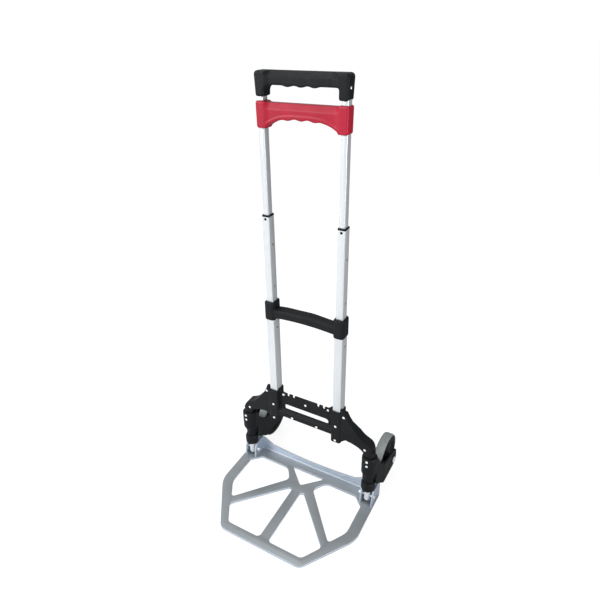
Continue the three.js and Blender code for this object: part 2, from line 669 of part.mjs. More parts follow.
function hingePin(side) {
  const innerHead = EAR.inner - GAP;
  const outerHead = EAR.outer + GAP;
  const { radius, headRadius, tip } = HINGE;
  const solid = turnedAcross([
    [0, tip], [headRadius - 0.8, tip], [headRadius, tip + 0.8], [headRadius, innerHead],
    [radius, innerHead], [radius, outerHead], [headRadius, outerHead],
    [headRadius - 1.4, outerHead + 1.6], [0, outerHead + 1.8],
  ], 0, HINGE.y, HINGE.z, SMALL_SIDES);
  return onSide(solid, side);
}

// ---- Rivets ----

// Domed rivet heads: name, x, face they sit on (y) and height.
const RIVETS = [
  ["web", 0, WEB.front, 248.5],
  ...SIDES.flatMap(([name, side]) => [
    [`ear_${name}`, side * 105.5, ARM.front, 261],
    [`hook_${name}`, side * 61.5, WEB.front, 259],
    [`socket_${name}`, side * TUBE_X, -SOCKET.depth / 2, 227],
    [`tab_${name}`, side * TUBE_X, -SOCKET.depth / 2, 183],
    [`arm_${name}`, side * 162.3, ARM.front, 184.5],
    [`beam_${name}`, side * 34, ARM.front, 200],
  ]),
];
const BRACKET_RIVET_HEIGHTS = [["upper", 156.5], ["lower", 143]];

function rivet(x, face, z) {
  const profile = [
    [0, 0], [RIVET_RADIUS, 0], [RIVET_RADIUS * 0.8, RIVET_HEIGHT * 0.75], [0, RIVET_HEIGHT],
  ];
  return toSolid(turned(profile, SMALL_SIDES).rotateX(Math.PI).translate(x, face - GAP, z));
}

// ---- Assembly ----

const handTruck = new THREE.Group();

function place(name, solid, look) {
  const mesh = new THREE.Mesh(toGeometry(solid), look);
  mesh.name = name;
  handTruck.add(mesh);
}

place("toe_plate", toePlate(), plateMetal);
place("lower_body", lowerBody(), blackPlastic);
place("crossbar", crossbar(), blackPlastic);
place("handle", handle(), blackPlastic);
place("release_grip", releaseGrip(), redPlastic);
for (const [name, side] of SIDES) {
  place(`outer_tube_${name}`, tube(OUTER_TUBE, side, OUTER_LATCH_HEIGHTS), aluminium);
  place(`middle_tube_${name}`, tube(MIDDLE_TUBE, side, MIDDLE_LATCH_HEIGHTS, [pegHole(side)]), aluminium);
  place(`inner_tube_${name}`, tube(INNER_TUBE, side, []), aluminium);
  place(`tube_bush_${name}`, bush(side), blackPlastic);
  place(`handle_screw_${name}`, handleScrew(side), steel);
  place(`post_${name}`, post(side), steel);
  place(`post_collar_${name}`, postCollar(side), blackPlastic);
  place(`hinge_pin_${name}`, hingePin(side), steel);
  place(`wheel_bracket_${name}`, wheelBracket(side), blackPlastic);
  place(`axle_${name}`, axle(side), steel);
  place(`wheel_hub_${name}`, wheelHub(side), blackPlastic);
  place(`tyre_${name}`, tyre(side), tyreRubber);
  for (const [level, z] of BRACKET_RIVET_HEIGHTS) {
    const face = POST.y - KNUCKLE.radius;
    place(`rivet_bracket_${level}_${name}`, rivet(side * POST.x, face, z), steel);
  }
}
for (const [name, x, face, z] of RIVETS) {
  place(`rivet_${name}`, rivet(x, face, z), steel);
}

export default handTruck;
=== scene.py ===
"""Looks of the folding hand truck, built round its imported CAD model.

Builders work in millimetres, in the CAD frame: X across the truck, -Y to the front, Z up.
"""

import json
import math

import bmesh
import bpy
from mathutils import Matrix, Vector
from mathutils.geometry import tessellate_polygon


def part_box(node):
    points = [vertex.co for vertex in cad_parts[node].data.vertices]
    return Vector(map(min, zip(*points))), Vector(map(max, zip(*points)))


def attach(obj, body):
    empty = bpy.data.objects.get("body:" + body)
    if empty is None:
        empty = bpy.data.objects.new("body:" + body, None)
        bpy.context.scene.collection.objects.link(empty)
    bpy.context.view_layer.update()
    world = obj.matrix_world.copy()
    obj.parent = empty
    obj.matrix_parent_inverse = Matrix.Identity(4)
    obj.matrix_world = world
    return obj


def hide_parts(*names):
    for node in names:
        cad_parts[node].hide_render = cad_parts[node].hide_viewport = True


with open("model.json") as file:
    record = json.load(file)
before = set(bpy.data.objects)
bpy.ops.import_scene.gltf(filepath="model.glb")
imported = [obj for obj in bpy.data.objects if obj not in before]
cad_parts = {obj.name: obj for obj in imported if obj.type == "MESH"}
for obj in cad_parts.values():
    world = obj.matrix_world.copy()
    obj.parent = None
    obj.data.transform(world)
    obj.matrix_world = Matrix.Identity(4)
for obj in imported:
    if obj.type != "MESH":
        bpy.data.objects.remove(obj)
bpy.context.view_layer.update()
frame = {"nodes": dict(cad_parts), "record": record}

MM = 0.001
SIDES = (("left", -1), ("right", 1))
GAP = 0.3  # clearance left round whatever passes through a hole
VOXEL = 0.8  # grain of the mouldings that are rebuilt as one soft surface
UP = (0, 0, 1)


# ---- Places and sizes, read from the CAD frame ----


def box(node):
    """Lowest and highest corner of a CAD node, in millimetres."""
    low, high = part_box(node)
    return low / MM, high / MM


def centre(node):
    """Middle of a CAD node's box, in millimetres."""
    low, high = box(node)
    return (low + high) / 2


TUBE_X = centre("outer_tube_right").x
OUTER_TUBE = box("outer_tube_right")[1] - box("outer_tube_right")[0]
MIDDLE_TUBE = box("middle_tube_right")[1] - box("middle_tube_right")[0]
INNER_TUBE = box("inner_tube_right")[1] - box("inner_tube_right")[0]
TUBE_CORNER = 1.6  # rounding of every tube's four corners
PLATE_LOW, PLATE_HIGH = box("toe_plate")
POST = centre("post_right")
POST_RADIUS = (box("post_right")[1].x - box("post_right")[0].x) / 2
AXLE = centre("tyre_right")
PIN = centre("hinge_pin_right")
PIN_RADIUS, PIN_HEAD_RADIUS = 2.4, 3.6
AXLE_RADIUS = 5
EAR_INNER, EAR_OUTER, EAR_THICKNESS = 155.5, 189.5, 4  # the toe plate's two ears beside each post


# ---- Outlines ----


def rounded(corners, offset=0.0, steps=8):
    """Points of a closed anticlockwise outline whose corners (u, v, radius) are rounded by arcs.

    A positive offset moves every side outwards and keeps the arcs concentric.
    """
    points = []
    for i, (u, v, radius) in enumerate(corners):
        before = corners[i - 1]
        after = corners[(i + 1) % len(corners)]
        a = Vector((u - before[0], v - before[1])).normalized()
        b = Vector((after[0] - u, after[1] - v)).normalized()
        turn = math.atan2(a.x * b.y - a.y * b.x, a.dot(b))
        mitre = Vector((a.y + b.y, -a.x - b.x)).normalized()
        corner = Vector((u, v)) + mitre * (offset / math.cos(turn / 2))
        if radius == 0:
            points.append(corner)
            continue
        side = math.copysign(1, turn)
        grown = max(radius + side * offset, 0)
        start = corner - a * (grown * math.tan(abs(turn) / 2))
        hub = start + Vector((-a.y, a.x)) * (side * grown)
        arm = start - hub
        for step in range(steps + 1):
            angle = turn * step / steps
            c, s = math.cos(angle), math.sin(angle)
            points.append(hub + Vector((arm.x * c - arm.y * s, arm.x * s + arm.y * c)))
    return points


def rectangle(u0, u1, v0, v1, radius=0.0):
    """Corners of a rectangle with equally rounded corners."""
    return [(u0, v0, radius), (u1, v0, radius), (u1, v1, radius), (u0, v1, radius)]


def mirrored(corners):
    """The outline's mirror image across u = 0, still anticlockwise."""
    return [(-u, v, radius) for u, v, radius in reversed(corners)]


def two_sided(half):
    """A turned piece's outline from the half below height 0 and that half's mirror image."""
    return half + [(radius, -height, rounding) for radius, height, rounding in reversed(half)]


def soft_edges(low, high, radius, steps=4):
    """A slab's (inset, height) profile from its top cap to its bottom cap, with rounded edges."""
    turns = [math.pi / 2 * step / steps for step in range(steps + 1)]
    top = [(radius * (1 - math.sin(t)), high - radius * (1 - math.cos(t))) for t in turns]
    bottom = [(radius * (1 - math.cos(t)), low + radius * (1 - math.sin(t))) for t in turns]
    return top + bottom


# ---- Meshes ----


def on_plan(u, v, height):
    """An outline drawn from above, with its height along Z."""
    return Vector((u, v, height))


def on_front(u, v, height):
    """An outline drawn from the front, with its height along Y."""
    return Vector((u, height, v))


def on_side(u, v, height):
    """An outline drawn from the side, with its height along X."""
    return Vector((height, u, v))


def placed(name, mesh_builder):
    """Puts a finished bmesh into the scene as an object."""
    mesh = bpy.data.meshes.new(name)
    mesh_builder.to_mesh(mesh)
    mesh_builder.free()
    made = bpy.data.objects.new(name, mesh)
    bpy.context.scene.collection.objects.link(made)
    return made


def to_object(name, mesh_builder):
    """Cleans up a bmesh drawn in millimetres and makes it an object in metres."""
    bmesh.ops.remove_doubles(mesh_builder, verts=mesh_builder.verts, dist=1e-3)
    bmesh.ops.dissolve_degenerate(mesh_builder, edges=mesh_builder.edges, dist=1e-4)
    bmesh.ops.recalc_face_normals(mesh_builder, faces=mesh_builder.faces)
    bmesh.ops.scale(mesh_builder, vec=(MM, MM, MM), verts=mesh_builder.verts)
    return placed(name, mesh_builder)


def band(builder, ring, following):
    """A closed band of faces between two rings of vertices."""
    for i in range(len(ring)):
        j = (i + 1) % len(ring)
        builder.faces.new((ring[i], ring[j], following[j], following[i]))


def slab(name, outer, holes, profile, place, steps=8):
    """A plate with holes. The (inset, height) profile runs round every edge, from cap to cap."""
    builder = bmesh.new()
    caps = {0: [], len(profile) - 1: []}
    for corners, outward in [(outer, 1)] + [(hole, -1) for hole in holes]:
        rings = []
        for level, (inset, height) in enumerate(profile):
            points = [place(p.x, p.y, height) for p in rounded(corners, -outward * inset, steps)]
            rings.append([builder.verts.new(p) for p in points])
            if level in caps:
                caps[level].append(rings[-1])
        for ring, following in zip(rings, rings[1:]):
            band(builder, ring, following)
    for loops in caps.values():
        flat = [vertex for loop in loops for vertex in loop]
        for triangle in tessellate_polygon([[vertex.co for vertex in loop] for loop in loops]):
            corners = [flat[i] for i in triangle]
            if len(set(corners)) == 3 and builder.faces.get(corners) is None:
                builder.faces.new(corners)
    return to_object(name, builder)


def turned(name, corners, middle, axis, sides=64, steps=6):
    """A turned piece from a closed outline of (radius, height, rounding) corners."""
    axis = Vector(axis)
    across = axis.orthogonal().normalized()
    outline = rounded(corners, 0, steps)
    builder = bmesh.new()
    rings = []
    for i in range(sides):
        outwards = Matrix.Rotation(2 * math.pi * i / sides, 3, axis) @ across
        points = [Vector(middle) + outwards * p.x + axis * p.y for p in outline]
        rings.append([builder.verts.new(p) for p in points])
    for i, ring in enumerate(rings):
        band(builder, ring, rings[(i + 1) % sides])
    return to_object(name, builder)


def loft(name, stations, section):
    """A solid through the outlines section(x), given as (y, z) corners, at each station x."""
    builder = bmesh.new()
    rings = []
    for x in stations:
        rings.append([builder.verts.new((x, p.x, p.y)) for p in rounded(section(x), 0, 4)])
    for ring, following in zip(rings, rings[1:]):
        band(builder, ring, following)
    builder.faces.new(rings[0])
    builder.faces.new(rings[-1])
    return to_object(name, builder)


def apply_modifiers(made):
    """Bakes an object's modifiers into its mesh."""
    depsgraph = bpy.context.evaluated_depsgraph_get()
    mesh = bpy.data.meshes.new_from_object(made.evaluated_get(depsgraph))
    made.modifiers.clear()
    made.data = mesh


def combine(made, tools, operation):
    """Joins ("UNION") or cuts ("DIFFERENCE") made with every tool, and removes the tools."""
    for tool in tools:
        modifier = made.modifiers.new(operation, "BOOLEAN")
        modifier.operation = operation
        modifier.solver = "EXACT"
        modifier.object = tool
        apply_modifiers(made)
        bpy.data.objects.remove(tool)
    return made


def remesh(made, voxel):
    """Rebuilds a solid, or several that overlap, as one fine even surface."""
    modifier = made.modifiers.new("remesh", "REMESH")
    modifier.mode = "VOXEL"
    modifier.voxel_size = voxel * MM
    apply_modifiers(made)
    return made


def soften(made, rounds, keep=1.0):
    """Smooths a fine surface and thins its faces out to a share of their number."""
    modifier = made.modifiers.new("soften", "SMOOTH")
    modifier.factor = 0.5
    modifier.iterations = rounds
    if keep < 1:
        modifier = made.modifiers.new("thin", "DECIMATE")
        modifier.ratio = keep
    apply_modifiers(made)
    return made


def smooth_step(value, start, end):
    """Rises softly from 0 at start to 1 at end."""
    t = min(max((value - start) / (end - start), 0), 1)
    return t * t * (3 - 2 * t)


def reshape(made, move):
    """Moves every vertex, given and returned in millimetres."""
    for vertex in made.data.vertices:
        vertex.co = move(vertex.co / MM) * MM
    return made


def fuse(pieces):
    """Puts several solids into one object, to be remeshed together."""
    builder = bmesh.new()
    for piece in pieces:
        builder.from_mesh(piece.data)
        bpy.data.objects.remove(piece)
    return placed("fused", builder)


def copy_of(node):
    """A welded, free copy of a CAD node, to be worked on as a new piece."""
    builder = bmesh.new()
    builder.from_mesh(frame["nodes"][node].data)
    bmesh.ops.remove_doubles(builder, verts=builder.verts, dist=1e-7)
    return placed(node + "_copy", builder)


def show(made, name, nodes, body, material, crease=35):
    """Finishes a piece: its name, shading, material, the CAD nodes it stands for and its body."""
    made.name = name
    made.data.name = name
    made.data.shade_smooth()
    made.data.set_sharp_from_angle(angle=math.radians(crease))
    made.data.materials.clear()
    made.data.materials.append(MATERIALS[material])
    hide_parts(*nodes)
    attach(made, body)
    return made


# ---- Materials ----


def map_range(tree, value, start, end, low, high):
    """Takes start..end to low..high, and holds it there outside."""
    node = tree.nodes.new("ShaderNodeMapRange")
    node.inputs["From Min"].default_value = start
    node.inputs["From Max"].default_value = end
    node.inputs["To Min"].default_value = low
    node.inputs["To Max"].default_value = high
    tree.links.new(value, node.inputs["Value"])
    return node.outputs["Result"]


class Shader:
    """A Principled material and the few procedural nodes that its looks are made of."""

    def __init__(self, name, metallic, specular=0.5):
        self.material = bpy.data.materials.new(name)
        self.material.use_nodes = True
        self.tree = self.material.node_tree
        self.surface = self.tree.nodes["Principled BSDF"]
        self.surface.inputs["Metallic"].default_value = metallic
        self.surface.inputs["Specular IOR Level"].default_value = specular
        self.place = self.tree.nodes.new("ShaderNodeTexCoord").outputs["Object"]
        self.normal = None

    def noise(self, scale, detail=4, stretch=(1, 1, 1)):
        """Noise with about scale features to the metre, stretched along the axes."""
        mapping = self.tree.nodes.new("ShaderNodeMapping")
        mapping.inputs["Scale"].default_value = stretch
        self.tree.links.new(self.place, mapping.inputs["Vector"])
        texture = self.tree.nodes.new("ShaderNodeTexNoise")
        texture.inputs["Scale"].default_value = scale
        texture.inputs["Detail"].default_value = detail
        self.tree.links.new(mapping.outputs["Vector"], texture.inputs["Vector"])
        return texture.outputs["Fac"]

    def remap(self, value, start, end, low, high):
        return map_range(self.tree, value, start, end, low, high)

    def painted_hollow_shade(self, reach):
        """Where shade is painted: 1 deep inside a hollow or crease that is about reach wide, and 0 out in
        the open.
        """
        node = self.tree.nodes.new("ShaderNodeAmbientOcclusion")
        node.inputs["Distance"].default_value = reach
        return self.remap(node.outputs["AO"], 0.5, 0.8, 1, 0)

    def facing_up(self):
        """1 on faces that look up and 0 on walls and undersides."""
        split = self.tree.nodes.new("ShaderNodeSeparateXYZ")
        normal = self.tree.nodes.new("ShaderNodeNewGeometry").outputs["Normal"]
        self.tree.links.new(normal, split.inputs[0])
        return self.remap(split.outputs["Z"], 0.35, 0.9, 0, 1)

    def worn_edges(self, start, end, strength):
        """How worn a spot is: convex edges, broken up by noise."""
        pointiness = self.tree.nodes.new("ShaderNodeNewGeometry").outputs["Pointiness"]
        edge = self.remap(pointiness, start, end, 0, strength)
        patches = self.remap(self.noise(90, 6), 0.42, 0.62, 0, 1)
        node = self.tree.nodes.new("ShaderNodeMath")
        node.operation = "MULTIPLY"
        self.tree.links.new(edge, node.inputs[0])
        self.tree.links.new(patches, node.inputs[1])
        return node.outputs["Value"]

    def blend(self, factor, first, second):
        """A colour between two, each a colour or another blend."""
        node = self.tree.nodes.new("ShaderNodeMix")
        node.data_type = "RGBA"
        self.tree.links.new(factor, node.inputs["Factor"])
        for socket, colour in (("A", first), ("B", second)):
            slot = next(s for s in node.inputs if s.identifier == socket + "_Color")
            if isinstance(colour, tuple):
                slot.default_value = (*colour, 1)
            else:
                self.tree.links.new(colour, slot)
        return next(s for s in node.outputs if s.identifier == "Result_Color")

    def colour(self, value):
        self.tree.links.new(value, self.surface.inputs["Base Color"])

    def roughness(self, value):
        self.tree.links.new(value, self.surface.inputs["Roughness"])

    def bump(self, height, depth, strength=1.0):
        """Adds relief of about depth millimetres to what is there already."""
        node = self.tree.nodes.new("ShaderNodeBump")
        node.inputs["Strength"].default_value = strength
        node.inputs["Distance"].default_value = depth * MM
        self.tree.links.new(height, node.inputs["Height"])
        if self.normal is not None:
            self.tree.links.new(self.normal, node.inputs["Normal"])
        self.normal = node.outputs["Normal"]
        self.tree.links.new(self.normal, self.surface.inputs["Normal"])


def moulded_plastic(name, dark, light, worn, gloss, specular):
    """Spark-textured plastic with faint flow marks, rubbed a little paler along its edges."""
    shader = Shader(name, 0, specular)
    flow = shader.noise(22, 3, (1, 1, 0.5))
    base = shader.blend(shader.remap(flow, 0.35, 0.65, 0, 1), dark, light)
    shader.colour(shader.blend(shader.worn_edges(0.53, 0.62, 0.6), base, worn))
    shader.roughness(shader.remap(shader.noise(160, 5), 0.3, 0.7, *gloss))
    shader.bump(shader.noise(1500, 2), 0.05, 0.35)
    shader.bump(shader.noise(45, 2), 0.12, 0.25)
    return shader.material


def tube_aluminium():
    """Satin anodised extrusion, with die lines along its length, and shade painted near black into its
    hollows and into the creases beside the sockets.
    """
    shader = Shader("tube_aluminium", 0.62)
    lines = shader.noise(900, 3, (1, 1, 0.008))
    patches = shader.remap(shader.noise(14, 3, (1, 1, 0.25)), 0.35, 0.65, 0, 1)
    base = shader.blend(patches, (0.74, 0.77, 0.80), (0.80, 0.83, 0.85))
    base = shader.blend(shader.remap(lines, 0.35, 0.75, 0, 0.35), base, (0.66, 0.68, 0.70))
    # painted shade: the tubes' insides and the creases by the sockets are coloured near black, standing in
    # for their shadow
    shader.colour(shader.blend(shader.painted_hollow_shade(0.006), base, (0.02, 0.021, 0.022)))
    shader.roughness(shader.remap(lines, 0.3, 0.7, 0.30, 0.44))
    shader.bump(lines, 0.02, 0.3)
    shader.bump(shader.noise(1800, 2), 0.01, 0.25)
    return shader.material


def plate_metal():
    """Die-formed aluminium plate: brushed across, with painted light that makes its walls and rounded rims
    paler and bluer than its top, and paler along its worn edges.
    """
    shader = Shader("plate_metal", 0.85)
    brushed = shader.noise(700, 4, (0.02, 1, 1))
    patches = shader.remap(shader.noise(11, 4), 0.35, 0.65, 0, 1)
    face = shader.blend(patches, (0.31, 0.333, 0.350), (0.35, 0.373, 0.390))
    face = shader.blend(shader.remap(brushed, 0.4, 0.8, 0, 0.25), face, (0.42, 0.44, 0.46))
    # painted light: faces that look to the front or side get a paler, bluer colour than the top, standing
    # in for the light they catch
    painted_lit_wall = shader.blend(patches, (0.58, 0.65, 0.75), (0.63, 0.70, 0.80))
    base = shader.blend(shader.facing_up(), painted_lit_wall, face)
    shader.colour(shader.blend(shader.worn_edges(0.52, 0.60, 0.5), base, (0.64, 0.68, 0.72)))
    shader.roughness(shader.remap(brushed, 0.3, 0.7, 0.38, 0.54))
    shader.bump(brushed, 0.02, 0.3)
    shader.bump(shader.noise(1100, 3), 0.02, 0.3)
    return shader.material


def bright_steel():
    """Plated steel with faint turning marks and a little tarnish."""
    shader = Shader("bright_steel", 0.45)
    tarnish = shader.remap(shader.noise(60, 4), 0.4, 0.7, 0, 0.6)
    shader.colour(shader.blend(tarnish, (0.92, 0.93, 0.94), (0.78, 0.80, 0.81)))
    shader.roughness(shader.remap(shader.noise(400, 3, (1, 1, 3)), 0.3, 0.7, 0.30, 0.44))
    shader.bump(shader.noise(2200, 2), 0.01, 0.3)
    return shader.material


def tyre_rubber():
    """Matt grey tread rubber with mould grain and a dusty bloom."""
    shader = Shader("tyre_rubber", 0, 0.35)
    dust = shader.noise(55, 6)
    bloom = shader.remap(dust, 0.35, 0.7, 0, 1)
    grain = shader.remap(shader.noise(700, 3), 0.55, 0.75, 0, 0.3)
    base = shader.blend(bloom, (0.20, 0.222, 0.222), (0.265, 0.287, 0.283))
    shader.colour(shader.blend(grain, base, (0.15, 0.16, 0.16)))
    shader.roughness(shader.remap(dust, 0.3, 0.7, 0.55, 0.78))
    shader.bump(shader.noise(1300, 3), 0.06, 0.5)
    return shader.material


MATERIALS = {
    "tube_aluminium": tube_aluminium(),
    "plate_metal": plate_metal(),
    "bright_steel": bright_steel(),
    "black_plastic": moulded_plastic(
        "black_plastic",
        dark=(0.0058, 0.0068, 0.0081),
        light=(0.0082, 0.0096, 0.0113),
        worn=(0.018, 0.020, 0.023),
        gloss=(0.42, 0.56),
        specular=0.17,
    ),
    "red_plastic": moulded_plastic(
        "red_plastic",
        dark=(0.37, 0.005, 0.024),
        light=(0.43, 0.007, 0.032),
        worn=(0.60, 0.07, 0.12),
        gloss=(0.34, 0.46),
        specular=0.32,
    ),
    "tyre_rubber": tyre_rubber(),
}


# ---- Tubes, bushes and axles, kept from the CAD ----


def smooth_by_angle():
    """A modifier group that shades a CAD node smooth and keeps its creases sharp."""
    group = bpy.data.node_groups.new("smooth_by_angle", "GeometryNodeTree")
    group.interface.new_socket("Geometry", in_out="INPUT", socket_type="NodeSocketGeometry")
    group.interface.new_socket("Geometry", in_out="OUTPUT", socket_type="NodeSocketGeometry")
    nodes = group.nodes
    links = group.links
    start = nodes.new("NodeGroupInput")
    end = nodes.new("NodeGroupOutput")
    weld = nodes.new("GeometryNodeMergeByDistance")
    weld.inputs["Distance"].default_value = 1e-6
    faces = nodes.new("GeometryNodeSetShadeSmooth")
    edges = nodes.new("GeometryNodeSetShadeSmooth")
    edges.domain = "EDGE"
    edges.inputs["Shade Smooth"].default_value = False
    angle = nodes.new("GeometryNodeInputMeshEdgeAngle")
    sharp = nodes.new("FunctionNodeCompare")
    sharp.inputs["B"].default_value = math.radians(38)
    links.new(start.outputs[0], weld.inputs["Geometry"])
    links.new(weld.outputs["Geometry"], faces.inputs["Geometry"])
    links.new(faces.outputs["Geometry"], edges.inputs["Geometry"])
    links.new(angle.outputs["Unsigned Angle"], sharp.inputs["A"])
    links.new(sharp.outputs["Result"], edges.inputs["Selection"])
    links.new(edges.outputs["Geometry"], end.inputs[0])
    return group


SMOOTH_BY_ANGLE = smooth_by_angle()


def keep_cad(node, material):
    """Shows a CAD node as it is, in a new material."""
    made = frame["nodes"][node]
    made.data.materials.clear()
    made.data.materials.append(MATERIALS[material])
    modifier = made.modifiers.new("smooth", "NODES")
    modifier.node_group = SMOOTH_BY_ANGLE


def dress_tubes():
    for name, _ in SIDES:
        for stage in ("outer", "middle", "inner"):
            keep_cad(f"{stage}_tube_{name}", "tube_aluminium")
        keep_cad(f"tube_bush_{name}", "black_plastic")


# ---- Cutters ----

SEAT_LIFT = 3  # how far a rivet seat's cutter stands out in front


def tube_cutter(side, tube, low, high):
    """A cutter for the hole that holds a tube of the given size."""
    x = side * TUBE_X
    half_x, half_y = tube.x / 2 + GAP, tube.y / 2 + GAP
    outline = rectangle(x - half_x, x + half_x, -half_y, half_y, TUBE_CORNER + GAP)
    return slab("tube_cutter", outline, [], [(0, high), (0, low)], on_plan)


def rod_cutter(place, axis, radius, low, high):
    """A round cutter about an axis, from low to high along it."""
    corners = [(0, low, 0), (radius, low, 0), (radius, high, 0), (0, high, 0)]
    return turned("rod_cutter", corners, place, axis, 40)


def post_cutter(side, low, high):
    """A cutter for the hole that a post stands in."""
    return rod_cutter((side * POST.x, POST.y, 0), UP, POST_RADIUS + GAP, low, high)


def rivet_seat(node, clearance, depth):
    """A cutter for the flat round seat behind a rivet's head."""
    low, high = box(node)
    place = Vector((centre(node).x, high.y, centre(node).z))
    return rod_cutter(place, (0, 1, 0), (high.x - low.x) / 2 + clearance, -SEAT_LIFT, depth)


# ---- Handle and grip ----

SCALLOP_PITCH, SCALLOP_DEPTH, SCALLOP_REACH = 27, 2.4, 40.5
HANDLE_OUTER, HANDLE_INNER, HANDLE_BAR_BOTTOM = 94.5, 75, 970.5
HANDLE_EDGE, HANDLE_SLIMMING = 3.6, 0.15
GRIP_OUTER, GRIP_INNER, GRIP_BAR_TOP = 94.8, 75, 940.5
GRIP_ARCH_TOP, GRIP_ARCH_DROP, GRIP_ARCH_POWER = 914, 17, 3.2
GRIP_EDGE, GRIP_SET_BACK, GRIP_RIM = 3.4, 0.13, 0.06
SCREW_SEAT_RADIUS, SCREW_SEAT_DEPTH = 3.4, 2.2


def scallops(half, height, steps):
    """A finger-scalloped edge from left to right, whose three bumps point down."""
    points = []
    for i in range(steps + 1):
        x = half * (2 * i / steps - 1)
        inside = abs(x) < SCALLOP_REACH
        wave = 0.5 + 0.5 * math.cos(2 * math.pi * x / SCALLOP_PITCH) if inside else 0
        points.append((x, height(x) - SCALLOP_DEPTH * wave, 0))
    return points


def handle_outline(low, high):
    """The handle from the front: two legs that widen upwards, and a scalloped bar."""
    foot, shoulder = HANDLE_OUTER - 1.5, HANDLE_OUTER + 0.8
    inner, bar = HANDLE_INNER, HANDLE_BAR_BOTTOM
    return [
        (foot, low, 4), (shoulder, high, 7), (-shoulder, high, 7), (-foot, low, 4),
        (-inner, low, 4), (-inner, bar, 12), *scallops(inner - 14, lambda x: bar, 80),
        (inner, bar, 4), (inner, low, 4),
    ]


def slim_bar(point, half_depth, top):
    """Slims the handle's bar and bevels its top. Both fade out towards the legs."""
    along = smooth_step(HANDLE_INNER - abs(point.x), 0, 14)
    share = 1 - HANDLE_SLIMMING * along
    half = half_depth * share
    front = -half + 0.85 * along * max(point.z - (top - 10), 0)
    back = half - 0.4 * along * max(point.z - (top - 6), 0)
    return Vector((point.x, min(max(point.y * share, front), back), point.z))


def dress_handle():
    low, high = box("handle")
    profile = soft_edges(low.y, high.y, HANDLE_EDGE, 6)
    made = slab("handle", handle_outline(low.z, high.z), [], profile, on_front)
    remesh(made, VOXEL)
    reshape(made, lambda point: slim_bar(point, high.y, high.z))
    soften(made, 3, 0.6)
    tools = []
    for name, side in SIDES:
        tube_top = box(f"inner_tube_{name}")[1].z
        tools.append(tube_cutter(side, INNER_TUBE, low.z - 2, tube_top + GAP))
        screw = centre(f"handle_screw_{name}")
        seat = (SCREW_SEAT_RADIUS, HANDLE_OUTER - SCREW_SEAT_DEPTH, HANDLE_OUTER + 2)
        tools.append(rod_cutter((0, screw.y, screw.z), (side, 0, 0), *seat))
    combine(made, tools, "DIFFERENCE")
    show(made, "handle_moulding", ["handle"], "upper_stage", "black_plastic")


def grip_arch(x):
    """Height of the grip's arched underside, without its scallops."""
    return GRIP_ARCH_TOP - GRIP_ARCH_DROP * (abs(x) / GRIP_INNER) ** GRIP_ARCH_POWER


def grip_outline(low, high):
    """The grip from the front: two legs and a bar, scalloped along the arch between them."""
    outer, inner, top = GRIP_OUTER, GRIP_INNER, GRIP_BAR_TOP
    foot = outer - 0.8
    return [
        (foot, low, 4), (outer, high, 3.8), (inner + 2, high, 0), (inner - 3, top, 3.8),
        (3 - inner, top, 3.8), (-inner - 2, high, 0), (-outer, high, 3.8), (-foot, low, 4),
        (-inner, low, 0), *scallops(inner - 3, grip_arch, 90), (inner, low, 0),
    ]


def carve_grip(point, half_depth):
    """Sets the bar's front back, leans it at the top and leaves a raised rim along the arch."""
    along = smooth_step(GRIP_INNER + 3 - abs(point.x), 0, 12)
    rim = 1 - smooth_step(point.z - grip_arch(point.x), 6.2, 7.4)
    share = 1 - along * (GRIP_SET_BACK - GRIP_RIM * rim)
    lean = 0.45 * along * max(point.z - (GRIP_BAR_TOP - 11), 0)
    half = half_depth * share
    y = min(max(point.y * share, lean - half), half - lean)
    return Vector((point.x, y, point.z))


def dress_grip():
    low, high = box("release_grip")
    profile = soft_edges(low.y, high.y, GRIP_EDGE, 6)
    made = slab("grip", grip_outline(low.z, high.z), [], profile, on_front)
    remesh(made, VOXEL)
    reshape(made, lambda point: carve_grip(point, high.y))
    soften(made, 3, 0.6)
    tools = [tube_cutter(side, INNER_TUBE, low.z - 2, high.z + 2) for _, side in SIDES]
    combine(made, tools, "DIFFERENCE")
    show(made, "release_grip_moulding", ["release_grip"], "grip", "red_plastic")


# ---- Crossbar, lower body and wheel brackets ----

BEAM_BOTTOM, BEAM_RIDGE, BEAM_FRONT, BEAM_BACK = 480.5, 500.5, -15, 8
BEAM_RISE, BEAM_BULGE, BEAM_WAVE = 5, 1.2, 0.45
SLEEVE_CORNER = 8
AXLE_HOLE = (140, 202.5)  # from beside the wheel's inner face to outside the fork


def beam_section(x, reach):
    """The crossbar's beam cut across: it bows up and forwards, and has a ridge along its top."""
    swell = 1 - (x / reach) ** 2
    bottom = BEAM_BOTTOM + BEAM_RISE * swell
    ridge = BEAM_RIDGE + BEAM_RISE * swell + BEAM_WAVE * math.sin(x / 11)
    face = BEAM_FRONT - BEAM_BULGE * swell
    return [
        (face, bottom, 3), (BEAM_BACK, bottom, 3), (BEAM_BACK, ridge, 2), (3, ridge + 4, 2),
        (face + 4, ridge + 0.6, 1.2), (face, ridge - 3, 1.5),
    ]


def dress_crossbar():
    low, high = box("crossbar")
    half_width = high.x - TUBE_X
    reach = TUBE_X - half_width + 3
    steps = 48
    stations = [reach * (2 * i / steps - 1) for i in range(steps + 1)]
    pieces = [loft("beam", stations, lambda x: beam_section(x, reach))]
    for _, side in SIDES:
        x = side * TUBE_X
        outline = rectangle(x - half_width, x + half_width, low.y, high.y, SLEEVE_CORNER)
        pieces.append(slab("sleeve", outline, [], soft_edges(low.z, high.z, 2.4, 5), on_plan))
    made = soften(remesh(fuse(pieces), VOXEL), 3, 0.5)
    tools = []
    for name, side in SIDES:
        tube_top = box(f"outer_tube_{name}")[1].z
        tools.append(tube_cutter(side, OUTER_TUBE, low.z - 2, tube_top + GAP))
        tools.append(tube_cutter(side, MIDDLE_TUBE, tube_top - 2, high.z + 2))
    combine(made, tools, "DIFFERENCE")
    show(made, "crossbar_moulding", ["crossbar"], "frame", "black_plastic")


